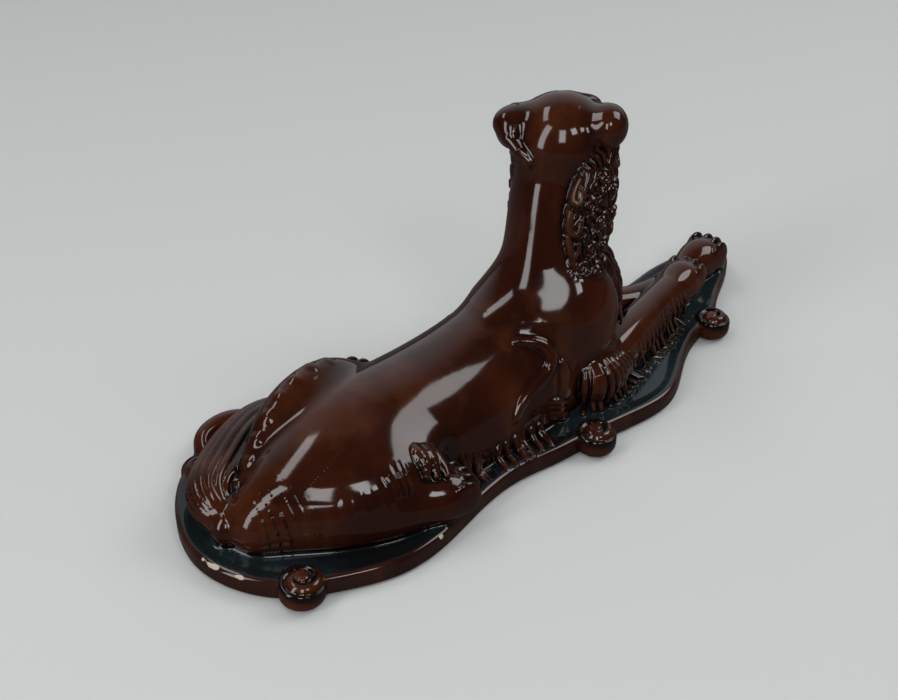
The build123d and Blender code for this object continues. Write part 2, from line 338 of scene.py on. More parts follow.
class Course:
    """A smooth course through rows of numbers, of which the first few are its path."""

    def __init__(self, rows, axes=3, closed=False):
        rows = np.asarray(rows, float)
        if closed:
            rows = np.vstack([rows, rows[:1]])
        self.rows, self.axes, self.closed = rows, axes, closed
        self.spans = np.linalg.norm(np.diff(rows[:, :axes], axis=0), axis=1)
        self.knots = np.concatenate([[0.0], np.cumsum(self.spans)])
        self.length = self.knots[-1]
        self.bends = self.solve_bends()
        self.table_places = np.linspace(0.0, self.length, 10 * len(self.spans) + 1)
        self.table = self.at(self.table_places)[0][:, :axes]

    def solve_bends(self):
        """Second slopes of the cubic spline at each row."""
        count = len(self.rows)
        matrix, right = np.eye(count), np.zeros_like(self.rows)
        rises = np.diff(self.rows, axis=0) / self.spans[:, None]
        for i in range(1, count - 1):
            before, after = self.spans[i - 1], self.spans[i]
            matrix[i, i - 1:i + 2] = before, 2 * (before + after), after
            right[i] = 6 * (rises[i] - rises[i - 1])
        if self.closed:
            before, after = self.spans[-1], self.spans[0]
            matrix[0, [count - 2, 0, 1]] = before, 2 * (before + after), after
            right[0] = 6 * (rises[0] - rises[-1])
            matrix[-1, 0] = -1.0
        return np.linalg.solve(matrix, right)

    def at(self, places):
        """The rows and their slopes at places along the course."""
        i = np.clip(np.searchsorted(self.knots, places, "right") - 1, 0, len(self.spans) - 1)
        span = self.spans[i][:, None]
        b = (places[:, None] - self.knots[i][:, None]) / span
        a = 1.0 - b
        low, high, low_bend, high_bend = self.rows[i], self.rows[i + 1], self.bends[i], self.bends[i + 1]
        row = a * low + b * high + ((a ** 3 - a) * low_bend + (b ** 3 - b) * high_bend) * span ** 2 / 6
        slope = (high - low) / span + ((3 * b * b - 1) * high_bend - (3 * a * a - 1) * low_bend) * span / 6
        return row, slope

    def nearest(self, points):
        """The place along the course nearest to each point."""
        score = (self.table ** 2).sum(1) - 2 * points @ self.table.T
        places = self.table_places[score.argmin(1)]
        for _ in range(3):
            row, slope = self.at(places)
            step = ((points - row[:, :self.axes]) * slope[:, :self.axes]).sum(1)
            places = places + step / np.maximum((slope[:, :self.axes] ** 2).sum(1), 1e-9)
            places = places % self.length if self.closed else np.clip(places, 0.0, self.length)
        return places


class Lump:
    """A lump of clay: its distances, negative inside, and the box that holds it."""

    def __init__(self, shape, low, high, reach=REACH):
        self.shape, self.reach = shape, reach
        self.low, self.high = np.asarray(low, float), np.asarray(high, float)

    def at(self, points):
        """Distances of points: close ones as the shape gives them, others from the box."""
        away = lengths(points - np.clip(points, self.low, self.high))
        near = away < self.reach
        if near.any():
            away[near] = self.shape(points[near])
        return away


def ball(place, half, yaw=0.0, roll=0.0):
    """An egg-shaped lump."""
    place, half = np.asarray(place, float), np.asarray(half, float)
    axes = turning(yaw, roll)

    def shape(points):
        local = (points - place) @ axes
        k0, k1 = lengths(local / half), lengths(local / half ** 2)
        return k0 * (k0 - 1.0) / np.maximum(k1, 1e-6)

    return Lump(shape, place - half.max(), place + half.max())


def limb(rows, up=(0, 0, 1), relief=None):
    """A long lump along a course of x, y, z, half width and half height, with round ends, maybe in relief."""
    course = Course(rows)
    up = np.asarray(up, float)

    def shape(points):
        places = course.nearest(points)
        row, slope = course.at(places)
        ahead = unit(slope[:, :3])
        side = unit(np.cross(up, ahead))
        top = np.cross(ahead, side)
        off = points - row[:, :3]
        wide, high = np.maximum(row[:, 3], 0.5), np.maximum(row[:, 4], 0.5)
        tip = np.minimum(wide, high)
        u, v, w = (off * side).sum(1), (off * top).sum(1), (off * ahead).sum(1)
        k0 = np.sqrt((u / wide) ** 2 + (v / high) ** 2 + (w / tip) ** 2)
        k1 = np.sqrt((u / wide ** 2) ** 2 + (v / high ** 2) ** 2 + (w / tip ** 2) ** 2)
        value = k0 * (k0 - 1.0) / np.maximum(k1, 1e-6)
        if relief:
            value = value - relief(places / course.length, np.arctan2(v / high, u / wide))
        return value

    path = course.table
    girth = course.rows[:, 3:5].max() + 2.0
    return Lump(shape, path.min(0) - girth, path.max(0) + girth)


def strand(path, thick):
    """A lock of hair: a chain of tapering round rods."""
    path, thick = np.asarray(path, float), np.asarray(thick, float)
    rods, swell = np.diff(path, axis=0), np.diff(thick)
    squares = np.maximum((rods ** 2).sum(1), 1e-9)

    def shape(points):
        off = points[:, None] - path[:-1]
        share = np.clip(np.einsum("nsi,si->ns", off, rods) / squares, 0.0, 1.0)
        return (lengths(off - share[..., None] * rods) - thick[:-1] - swell * share).min(1)

    return Lump(shape, path.min(0) - thick.max(), path.max(0) + thick.max(), HAIR_REACH)


def melt(first, second, width):
    """Two lumps pressed together, with the angle between them filled over a width."""
    def shape(points):
        return soft_min(first.at(points), second.at(points), width)

    return Lump(shape, np.minimum(first.low, second.low), np.maximum(first.high, second.high))


def cut(lump, tool, width):
    """A lump with a tool's shape pressed out of it, its edge rounded over a width."""
    def shape(points):
        return -soft_min(-lump.at(points), tool.at(points), width)

    return Lump(shape, lump.low, lump.high)


def tufts(strands, width):
    """Many strands side by side, softly joined."""
    def shape(points):
        values = np.full(len(points), HAIR_REACH)
        low, high = points.min(0) - HAIR_REACH, points.max(0) + HAIR_REACH
        for lock in strands:
            if (lock.low < high).all() and (lock.high > low).all():
                values = soft_min(values, lock.at(points), width)
        return values

    low = np.min([lock.low for lock in strands], axis=0)
    high = np.max([lock.high for lock in strands], axis=0)
    return Lump(shape, low, high, HAIR_REACH)


def slopes(field, points):
    """Value and gradient of a field at points, from four points round each."""
    corners = np.array([(1, 1, 1), (1, -1, -1), (-1, 1, -1), (-1, -1, 1)], float)
    values = [evaluate(field, points + corner * SLOPE_STEP) for corner in corners]
    gradient = sum(value[:, None] * corner for value, corner in zip(values, corners)) / (4 * SLOPE_STEP)
    return sum(values) / 4.0, gradient


def evaluate(field, points):
    """A field's values, worked out in chunks of close points side by side."""
    if len(points) <= CHUNK:
        return field(points)
    order = np.lexsort(np.floor(points / CELL).T)
    pieces = np.array_split(points[order], math.ceil(len(points) / CHUNK))
    values = np.empty(len(points))
    with ThreadPoolExecutor(THREADS) as pool:
        values[order] = np.concatenate(list(pool.map(field, pieces)))
    return values


def drape(path, lump, lift):
    """Moves the points of a path onto a lump, and a little above or into it."""
    path = np.asarray(path, float)
    for _ in range(6):
        value, gradient = slopes(lump.at, path)
        path = path - (value / np.maximum((gradient ** 2).sum(1), 0.05))[:, None] * gradient
    return path + unit(slopes(lump.at, path)[1]) * np.reshape(lift, (-1, 1))


def along(points, shares):
    """Points at shares of the way along a chain of points."""
    points = np.asarray(points, float)
    marks = np.concatenate([[0.0], np.cumsum(np.linalg.norm(np.diff(points, axis=0), axis=1))])
    return np.stack([np.interp(shares * marks[-1], marks, column) for column in points.T], axis=1)


def comb(lump, roots, tips, count, thick, sway=0.0, lift=0.35, point=0.5, seed=1):
    """A row of locks lying on a lump, from a line of roots to a line of tips."""
    chance = np.random.default_rng(seed)
    shares = (np.arange(count) + 0.5 + chance.uniform(-0.2, 0.2, count)) / count
    share = np.linspace(0.0, 1.0, 8)
    locks = []
    for start, end in zip(along(roots, shares), along(tips, shares)):
        lean = unit(np.cross(end - start, (0.35, 0.45, 0.82)))
        path = start + np.outer(share, end - start) * chance.uniform(0.85, 1.1)
        path = path + np.outer(np.sin(share * math.pi * 1.7), lean) * sway * chance.uniform(0.5, 1.5)
        girth = thick * chance.uniform(0.8, 1.15)
        radius = girth * (0.6 + 0.4 * np.sin(math.pi * share ** 0.8)) * (1.0 - point * share ** 3)
        locks.append(strand(drape(path, lump, girth * (lift - 1.2 * (1.0 - share) ** 3)), radius))
    return locks


def welt(lump, path):
    """A raised fold on a lump that tapers off at its ends."""
    course = Course(path)
    shares = np.linspace(0.0, 1.0, 4 * len(path))
    points = course.at(shares * course.length)[0]
    taper = 0.4 + 0.6 * np.sin(math.pi * shares) ** 0.5
    return strand(drape(points, lump, FOLD_LIFT * FOLD_THICKNESS), FOLD_THICKNESS * taper)


def with_deck(lump):
    """A lump together with the endless deck, for hair to lie on."""
    far = np.full(3, 1e4)
    return melt(lump, Lump(lambda points: points[:, 2] + DECK_DISH, -far, far), DECK_FILL)


def toes(paw):
    """Rounded toes in a row across the front of a paw, given as place, half sizes and yaw."""
    place, (length, width, height), yaw = paw
    axes = turning(yaw)
    lump = None
    for toe in range(TOES):
        across = (toe - (TOES - 1) / 2) * TOE_SPREAD
        reach = length * (0.62 - 0.35 * (across / width) ** 2)
        knuckle = ball(np.array(place) + axes @ np.array((reach, across, 0.12 * height)), TOE_SIZE, yaw)
        lump = knuckle if lump is None else melt(lump, knuckle, TOE_JOINT)
    return lump


def on_head(place, roll=HEAD_ROLL):
    """A place given from the middle of the skull."""
    return np.asarray(SKULL_PLACE, float) + turning(HEAD_YAW, roll) @ np.asarray(place, float)


def head_rows(rows):
    """Rows of a limb given from the middle of the skull."""
    return [(*on_head(row[:3]), *row[3:]) for row in rows]


BASE_EDGE = Course(BASE_OUTLINE, axes=2, closed=True)


def edge_depth(points):
    """How far points lie inside the base's outline."""
    row, slope = BASE_EDGE.at(BASE_EDGE.nearest(points[:, :2]))
    off = points[:, :2] - row
    side = slope[:, 0] * off[:, 1] - slope[:, 1] * off[:, 0]
    return lengths(off) * np.where(side > 0, 1.0, -1.0)


def chipped(points):
    """How far the glaze is gone along the rim's edge, from 0 to 1."""
    across = np.hypot(points[:, 2] - RIM_CREST + CHIP_INSET, edge_depth(points) - CHIP_INSET)
    bare = np.zeros(len(points))
    for x, y, length, width in CHIPS:
        away = np.hypot(lengths(points[:, :2] - (x, y)) / length, across / width)
        bare = np.maximum(bare, 1.0 - ease(away, 0.2, 1.5))
    return bare


def base_lump():
    """The slab with its wavy, rounded rim and dished deck, which has no hair."""
    def shape(points):
        inside = edge_depth(points)
        top = RIM_CREST - (RIM_CREST + DECK_DISH) * ease(inside, 0.5 * RIM_WIDTH, 2.2 * RIM_WIDTH)
        across = RIM_ROUNDING - inside
        upward = np.maximum(points[:, 2] - top, -BASE_THICKNESS - points[:, 2]) + RIM_ROUNDING
        outer = np.hypot(np.maximum(across, 0.0), np.maximum(upward, 0.0))
        return outer + np.minimum(np.maximum(across, upward), 0.0) - RIM_ROUNDING

    path = BASE_EDGE.table
    return Lump(shape, (*path.min(0), -BASE_THICKNESS), (*path.max(0), RIM_CREST)), []


def vent_tool():
    """The firing vent, from the underside into the body."""
    x, y = VENT_PLACE
    return strand([(x, y, -BASE_THICKNESS - VENT_OVERRUN), (x, y, VENT_DEPTH)], [VENT_RADIUS, VENT_RADIUS])


def head_ball(place, half):
    """An egg-shaped lump on the head."""
    return ball(on_head(place), half, HEAD_YAW, HEAD_ROLL)


def mirrored(place, side):
    """A place on the left of the face, or its mirror image on the right for side -1."""
    x, y, z = place
    return x, side * y, z


def face_bead(spot, side):
    """A small egg-shaped lump at a place and of half sizes on one side of the face."""
    place, half = spot
    return ball(on_head(mirrored(place, side)), half)


def face_line(rows, side):
    """A thin rod on one side of the face, along a path with half thicknesses."""
    return strand([on_head(mirrored(row[:3], side)) for row in rows], [row[3] for row in rows])


def face_lump(head):
    """A spaniel's muzzle, flews, nose, brows, eyes and mouth on the head."""
    face = melt(head, limb(head_rows(MUZZLE)), 8.0)
    for side in (1, -1):
        for place, half, joint in FLESH:
            face = melt(face, head_ball(mirrored(place, side), half), joint)
    face = melt(face, head_ball(*CHIN), 2.0)
    face = melt(face, head_ball(*NOSE), 1.5)
    face = cut(face, face_line(FURROW, 1), 4.0)
    for side in (1, -1):
        face = cut(face, face_bead(EYE_SOCKET, side), 2.0)
        face = melt(face, face_bead(EYEBALL, side), 0.6)
        face = melt(face, face_line(LIDS, side), 1.0)
        face = cut(face, face_bead(PUPIL, side), 0.5)
        face = cut(face, face_bead(NOSTRIL, side), 0.6)
        face = cut(face, face_line(LIPS, side), 0.8)
    return face


def body_hair(body):
    """Locks on trunk and breast."""
    ground = with_deck(body)
    locks = comb(ground, [(-38, -36, 8), (-24, -36, 7), (-9, -37, 6)],
                 [(-43, -47, -1), (-29, -48, -1), (-14, -48, -1)], 6, 2.1, 0.5, point=0.2, seed=2)
    locks += comb(body, [(-7, -38, 14), (-6, -39, 3)], [(5, -38, 8), (5, -40, -2)],
                  4, 1.9, 0.3, point=0.2, seed=3)
    locks += comb(ground, [(-62, -37, 14), (-46, -37, 9)], [(-60, -43, 3), (-48, -46, -1)],
                  4, 1.7, 0.5, seed=4)
    locks += comb(ground, [(-40, 28, 8), (-10, 28, 8)], [(-44, 40, -1), (-14, 40, -1)],
                  7, 2.1, 0.5, point=0.2, seed=5)
    for row, (top, drop, reach) in enumerate(((64, 20, 0), (47, 18, 3), (31, 18, 4))):
        line = [(44, -25, top), (57, -14, top + 3), (61, -3, top + 4), (56, 9, top + 3)]
        roots = [(x + reach, y, z) for x, y, z in line]
        tips = [(x + 3, y, z - drop) for x, y, z in roots]
        locks += comb(body, roots, tips, 8, 2.2, 1.4, seed=20 + row)
    return locks


def body_lump():
    """Trunk, neck and head in one."""
    body = melt(limb(TRUNK), limb(NECK, up=(1, 0, 0)), NECK_JOINT)
    body = melt(body, ball(*BREAST), BREAST_JOINT)
    head = head_ball((SKULL_FORWARD, 0, 0), SKULL_SIZE)
    body = melt(body, face_lump(head), HEAD_JOINT)
    web = np.asarray(EAR_WEB, float)
    body = melt(body, strand(web[:, :3], web[:, 3]), EAR_WEB_JOINT)
    return body, [welt(body, SHOULDER_FOLD), welt(body, ELBOW_FOLD), *body_hair(body)]


def neck_middle(height):
    """The middle of the neck at heights."""
    axis = np.asarray(NECK, float)
    return np.interp(height, axis[:, 2], axis[:, 0]), np.interp(height, axis[:, 2], axis[:, 1])


def hair_relief(points, side):
    """Height of the wavy strands and coiled curls of an ear's hair."""
    x, y = neck_middle(points[:, 2])
    turn = side * (np.arctan2(points[:, 1] - y, points[:, 0] - x) - math.radians(HEAD_YAW))
    turn = np.degrees((turn + math.pi) % math.tau - math.pi)
    scale = math.radians(HAIR_CHART_RADIUS)
    aside = scale * turn
    coil, inside, dome, edge = np.zeros((4, len(points)))
    for place, height, radius, hand in EAR_CURLS:
        across, down = scale * (turn - place), height - points[:, 2]
        reach = np.hypot(across, down)
        aside = aside + across * np.exp(-(reach / (CURL_PUSH * radius)) ** 2)
        spiral = reach / HAIR_PITCH - hand * np.arctan2(down, across) / math.tau
        coil = np.where(reach < radius, spiral, coil)
        inside = np.maximum(inside, 1.0 - ease(reach, 0.9 * radius, radius))
        dome = np.maximum(dome, 1.0 - (reach / radius) ** 2)
        edge = np.maximum(edge, np.exp(-((reach - radius) / CURL_GROOVE_WIDTH) ** 2))
    wave = HAIR_WAVE * np.sin(math.tau * points[:, 2] / HAIR_WAVE_LENGTH + 0.3 * aside)
    phase = np.where(inside > 0.5, coil, aside / HAIR_PITCH + wave)
    ridges = np.abs(np.sin(math.pi * phase)) ** 0.7
    return HAIR_HEIGHT * (ridges - 0.6) + CURL_BULGE * dome - CURL_GROOVE * edge


def ear_lump(side):
    """One ear with its fold, curly flap and single locks, on the left for side 1 and on the right for -1."""
    drop, tuck = (EAR_DROP, EAR_TUCK) if side > 0 else (0.0, 0.0)

    def place(x, y, z):
        return on_head((x, side * y, z - drop), roll=0.0)

    fold = ball(place(*EAR_FOLD_PLACE), EAR_FOLD_SIZE, HEAD_YAW)
    rows = [(*place(x, y - tuck, z), thick, wide) for x, y, z, thick, wide in EAR_FLAP]
    flap = limb(rows, up=turning(HEAD_YAW) @ np.array((1.0, 0.0, 0.0)))
    if side < 0:
        flap = melt(flap, limb(EAR_HAIR, up=(1, 0, 0)), 6.0)
    hair = Lump(lambda points: flap.at(points) - hair_relief(points, side), flap.low - 2.0, flap.high + 2.0)
    return melt(hair, fold, 0.6), ear_locks(flap, side)


def ear_locks(form, side):
    """The single locks along the edges of an ear's hair."""
    taper = 0.55 + 0.45 * np.sin(np.linspace(0.15, 1.0, EAR_LOCK_POINTS) * math.pi)
    locks = []
    for chart, thick in EAR_LOCKS:
        if side > 0 and chart[0][0] > LEFT_EAR_LIMIT:
            continue
        course = Course(chart, axes=2)
        turn, height = course.at(np.linspace(0.0, course.length, EAR_LOCK_POINTS))[0].T
        x, y = neck_middle(height)
        angle = np.radians(HEAD_YAW + side * turn)
        out = EAR_LOCK_RADIUS * np.cos(angle), EAR_LOCK_RADIUS * np.sin(angle)
        path = np.stack([x + out[0], y + out[1], height], axis=1)
        locks.append(strand(drape(path, form, 0.15 * thick), thick * taper))
    return locks


def leg_lump(path, *masses):
    """A leg from its path and round masses, of which the last is the paw."""
    leg = limb(path)
    for place, half, yaw in masses:
        leg = melt(leg, ball(place, half, yaw), LEG_JOINT)
    return melt(leg, toes(masses[-1]), PAW_JOINT)


def right_foreleg_lump():
    """The right foreleg, with a fan of hair at the elbow and feathers along the forearm."""
    leg = leg_lump(RIGHT_FOREARM, RIGHT_SHOULDER, RIGHT_ELBOW, RIGHT_FOREPAW)
    ground = with_deck(leg)
    locks = comb(ground, [(13, -37, 21), (21, -42, 23), (32, -41, 21), (42, -37, 17)],
                 [(8, -43, -1), (20, -48, -1), (37, -47, -1), (52, -43, -1)], 10, 2.4, 0.7, point=0.3, seed=8)
    locks += comb(ground, [(48, -35, 16), (75, -28, 16), (102, -22, 15)],
                  [(53, -42, -1), (81, -36, -1), (108, -26, 1)], 13, 1.7, 0.5, lift=0.1, point=0.6, seed=9)
    return leg, locks


def left_foreleg_lump():
    """The left foreleg, feathered on its outer side."""
    leg = leg_lump(LEFT_FOREARM, LEFT_SHOULDER, LEFT_ELBOW, LEFT_FOREPAW)
    ground = with_deck(leg)
    locks = comb(ground, [(18, 31, 14), (30, 34, 14), (44, 26, 12)],
                 [(15, 37, -1), (31, 39, -1), (49, 30, -1)], 9, 2.1, 0.7, point=0.3, seed=10)
    locks += comb(ground, [(50, 22, 12), (72, 10, 9)], [(56, 25, -1), (79, 12, -1)],
                  8, 1.4, 0.5, point=0.6, seed=11)
    return leg, locks


def right_hind_leg_lump():
    """The right hind leg, with soft locks on the thigh and a tuft that overhangs the foot."""
    leg = leg_lump(RIGHT_FOOT, RIGHT_THIGH, RIGHT_HINDPAW)
    locks = comb(leg, [(-117, -30, 28), (-108, -34, 29), (-99, -36, 29)],
                 [(-121, -36, 10), (-110, -43, 12), (-99, -47, 16)],
                 6, 2.6, 1.4, lift=-0.8, point=0.2, seed=12)
    locks += comb(leg, [(-82, -34, 33), (-71, -35, 29)], [(-88, -45, 21), (-75, -47, 19)],
                  3, 3.2, 0.6, lift=0.3, point=0.3, seed=13)
    locks += comb(leg, [(-100, -34, 29), (-88, -35, 31)], [(-101, -43, 20), (-93, -45, 19)],
                  4, 1.8, 0.8, lift=-0.2, seed=14)
    return leg, locks


def left_hind_leg_lump():
    """The left hind leg, with a frill down the back of the haunch."""
    leg = leg_lump(LEFT_FOOT, LEFT_THIGH, LEFT_HINDPAW)
    frill = limb(FRILL)
    course = Course([row[:3] for row in FRILL])
    locks = []
    for share in np.linspace(0.06, 0.84, FRILL_LOCKS):
        start, middle, end = course.at(np.array((share, share + 0.07, share + 0.16)) * course.length)[0]
        path = [start + (0, -6, 4), middle + (0, 0, 7), end + (0, 6, 2)]
        locks.append(strand(drape(path, frill, FRILL_LOCK_LIFT), FRILL_LOCK_THICKNESS))
    return melt(leg, frill, FRILL_JOINT), locks


def tail_lump():
    """The tail, combed in ribs."""
    def ribs(share, angle):
        height = TAIL_RIB_HEIGHT * np.abs(np.sin(angle * TAIL_RIBS / 2))
        return height * ease(share, 0.0, 0.2) * (1 - ease(share, 0.9, 1.0))

    return limb(TAIL, relief=ribs), []


def rim_lobe_lump():
    """The curled lobe over the rim, dished like a shell."""
    lobe = melt(limb(RIM_LOBE), ball(*RIM_LOBE_MIDDLE), 3.0)
    return cut(lobe, ball(*RIM_LOBE_DISH), 2.0), []


class Figure:
    """All the clay pieces, which share one skin: each piece is the part of the whole nearest to it."""

    def __init__(self):
        self.vent = vent_tool()
        made = {
            "body": body_lump(),
            "left_ear": ear_lump(1),
            "right_ear": ear_lump(-1),
            "left_foreleg": left_foreleg_lump(),
            "right_foreleg": right_foreleg_lump(),
            "left_hind_leg": left_hind_leg_lump(),
            "right_hind_leg": right_hind_leg_lump(),
            "tail": tail_lump(),
            "rim_lobe": rim_lobe_lump(),
            "base_plate": base_lump(),
        }
        self.names = list(made)
        self.masses, self.hair, self.boxes = {}, {}, {}
        for name, (mass, locks) in made.items():
            mass.reach = PIECE_REACH.get(name, OTHER_REACH)
            self.masses[name] = mass
            self.hair[name] = tufts(locks, HAIR_FILL) if locks else None
            low = np.min([lump.low for lump in (mass, *locks)], axis=0)
            high = np.max([lump.high for lump in (mass, *locks)], axis=0)
            self.boxes[name] = low, high

    def width(self, name, points):
        """How widely a piece's joint to the rest is filled."""
        z = points[:, 2]
        if name == "right_hind_leg":
            rear = 1.0 - ease(points[:, 0], -122.0, -104.0)
            return 2.5 + 10.0 * np.maximum(ease(z, 12.0, 28.0), 0.7 * rear)
        if name == "left_hind_leg":
            return 2.0 + 4.0 * ease(z, 14.0, 30.0)
        if name in ("left_ear", "right_ear"):
            return 1.6 + 4.4 * ease(z, 108.0, 120.0)
        if name == "base_plate":
            return DECK_FILLET
        if name == "right_foreleg":
            return 2.6 + 9.0 * ease(z, 26.0, 46.0)
        if name == "tail":
            return 5.0 - 3.0 * ease(points[:, 0], -140.0, -120.0)
        return 2.0 if name == "rim_lobe" else 4.0

    def spread(self, points):
        """Distances to every piece's mass, and to its hair, one row each."""
        seat = -SEAT - points[:, 2]
        masses, hair = [], []
        for name in self.names:
            under = -np.inf if name in ("base_plate", "rim_lobe") else seat
            tuft = self.hair[name]
            masses.append(np.maximum(self.masses[name].at(points), under))
            hair.append(np.maximum(tuft.at(points), under) if tuft else np.full(len(points), HAIR_REACH))
        return np.stack(masses), np.stack(hair)

    def join(self, points, spread):
        """Distance to the skin of the whole."""
        masses, hair = spread
        value = masses[0]
        for name, row in zip(self.names[1:], masses[1:]):
            value = soft_min(value, row, self.width(name, points))
        for row in hair:
            value = soft_min(value, row, HAIR_FILL)
        return -soft_min(-value, self.vent.at(points), 1.0)

    def skin(self, points):
        """Distance to the skin of the whole, from the points alone."""
        return self.join(points, self.spread(points))

    def border(self, name, spread):
        """Distance to the border of one piece's share, negative in its own."""
        nearest = np.minimum(*spread)
        own = self.names.index(name)
        return (nearest[own] - np.delete(nearest, own, axis=0).min(0)) / 2.0

    def sinking(self, name, points):
        """Distance to one piece's skin, which sinks under its neighbours, and to the border of its share."""
        spread = self.spread(points)
        border = self.border(name, spread)
        return self.join(points, spread) + OVERLAP_SINK * ease(border, 0.0, OVERLAP_SLOPE), border

    def sunk(self, name):
        """A field for one piece's skin."""
        return lambda points: self.sinking(name, points)[0]

    def share(self, name):
        """A field for one piece: its share of the whole, and the strip that it overlaps its neighbours by."""
        def field(points):
            skin, border = self.sinking(name, points)
            return np.maximum(skin, border - OVERLAP)

        return field


def sample(field, low, high, step):
    """A field's values on a grid, worked out closely only near its surface."""
    counts = np.ceil((high - low) / (4 * step)).astype(int) + 1
    cells = np.indices(counts).reshape(3, -1).T
    values = evaluate(field, low + cells * 4 * step).reshape(counts)
    for spacing in (2 * step, step):
        for axis in range(3):
            first = values.take(range(values.shape[axis] - 1), axis)
            last = values.take(range(1, values.shape[axis]), axis)
            shape = list(values.shape)
            shape[axis] = 2 * shape[axis] - 1
            finer = np.empty(shape)
            even, odd = [slice(None)] * 3, [slice(None)] * 3
            even[axis], odd[axis] = slice(0, None, 2), slice(1, None, 2)
            finer[tuple(even)] = values
            finer[tuple(odd)] = (first + last) / 2
            values = finer
        near = np.abs(values) < (2.0 if spacing == step else 3.0) * spacing
        values[near] = evaluate(field, low + np.argwhere(near) * spacing)
    return values


def net(values, low, step):
    """Vertices and outward quads of the zero surface of a grid of values."""
    inside = values < 0
    size = np.array(values.shape) - 1
    corners = [(i, j, k) for i in (0, 1) for j in (0, 1) for k in (0, 1)]
    count = sum(inside[i:size[0] + i, j:size[1] + j, k:size[2] + k].astype(np.int8) for i, j, k in corners)
    active = (count > 0) & (count < 8)
    cells = np.argwhere(active)
    index = np.full(active.shape, -1, np.int64)
    index[active] = np.arange(len(cells))
    total, hits = np.zeros((len(cells), 3)), np.zeros(len(cells))
    for corner in corners:
        for axis in range(3):
            if corner[axis]:
                continue
            far = np.array(corner)
            far[axis] = 1
            first = values[tuple((cells + corner).T)]
            last = values[tuple((cells + far).T)]
            crossed = (first < 0) != (last < 0)
            point = np.tile(np.array(corner, float), (len(cells), 1))
            point[:, axis] = np.where(crossed, first / np.where(crossed, first - last, 1.0), 0.0)
            total[crossed] += point[crossed]
            hits += crossed
    vertices = (cells + total / hits[:, None]) * step + low
    quads = []
    for axis in range(3):
        first = inside.take(range(size[axis]), axis)
        last = inside.take(range(1, size[axis] + 1), axis)
        edges = np.argwhere(first != last)
        u, v = [other for other in range(3) if other != axis]
        held = (edges[:, [u, v]] > 0).all(1) & (edges[:, u] < size[u]) & (edges[:, v] < size[v])
        edges = edges[held]
        ring = []
        for step_u, step_v in ((1, 1), (0, 1), (0, 0), (1, 0)):
            cell = edges.copy()
            cell[:, u] -= step_u
            cell[:, v] -= step_v
            ring.append(index[tuple(cell.T)])
        faces = np.stack(ring, axis=-1)
        backward = first[tuple(edges.T)] == (axis == 1)
        faces[backward] = faces[backward][:, ::-1]
        quads.append(faces)
    return vertices, np.vstack(quads)


def carve(figure, name, step):
    """The mesh of one piece with normals, and how glaze lies on it: pooled in hollows and thin on ridges."""
    low, high = figure.boxes[name]
    low, high = low - 4 * step, high + 4 * step
    low[2] = max(low[2], -BASE_THICKNESS - 4 * step)
    vertices, quads = net(sample(figure.share(name), low, high, step), low, step)
    value, gradient = slopes(figure.sunk(name), vertices)
    slack = evaluate(lambda points: figure.border(name, figure.spread(points)), vertices) - OVERLAP
    outer = (value > slack - 0.5 * step) & (np.abs(value) < step)
    move = value / np.maximum((gradient ** 2).sum(1), 0.2)
    vertices = vertices - np.where(outer, move, 0.0)[:, None] * gradient
    normals = unit(slopes(figure.skin, vertices)[1])
    pool = np.zeros(len(vertices))
    for reach in POOL_REACHES:
        pool += 0.5 * np.clip(1.0 - evaluate(figure.skin, vertices + normals * reach) / reach, 0.0, 1.0)
    ridge = np.clip(1.0 + evaluate(figure.skin, vertices - normals * RIDGE_DEPTH) / RIDGE_DEPTH, 0.0, 1.0)
    return vertices, quads, normals, {"pool": pool, "ridge": ridge}


def add_mesh(name, vertices, quads, normals, layers):
    """A mesh object in metres, standing on the base's underside."""
    mesh = bpy.data.meshes.new(name)
    mesh.vertices.add(len(vertices))
    mesh.vertices.foreach_set("co", ((vertices + (0, 0, BASE_THICKNESS)) / 1000.0).ravel())
    mesh.loops.add(quads.size)
    mesh.loops.foreach_set("vertex_index", quads.ravel())
    mesh.polygons.add(len(quads))
    mesh.polygons.foreach_set("loop_start", np.arange(0, quads.size, 4))
    mesh.update(calc_edges=True)
    mesh.shade_smooth()
    mesh.normals_split_custom_set_from_vertices(normals)
    for layer, values in layers.items():
        mesh.attributes.new(layer, "FLOAT", "POINT").data.foreach_set("value", values)
    piece = bpy.data.objects.new(name, mesh)
    bpy.context.scene.collection.objects.link(piece)
    return piece


class Wire:
    """One output of a node, which can be used in sums."""

    def __init__(self, bench, socket):
        self.bench, self.socket = bench, socket

    def maths(self, operation, first, second):
        return self.bench.node("ShaderNodeMath", {"operation": operation}, {0: first, 1: second})

    def __add__(self, other):
        return self.maths("ADD", self, other)

    def __radd__(self, other):
        return self.maths("ADD", other, self)

    def __sub__(self, other):
        return self.maths("SUBTRACT", self, other)

    def __rsub__(self, other):
        return self.maths("SUBTRACT", other, self)

    def __mul__(self, other):
        return self.maths("MULTIPLY", self, other)

    def __rmul__(self, other):
        return self.maths("MULTIPLY", other, self)

    def __truediv__(self, other):
        return self.maths("DIVIDE", self, other)

    def __pow__(self, other):
        return self.maths("POWER", self, other)


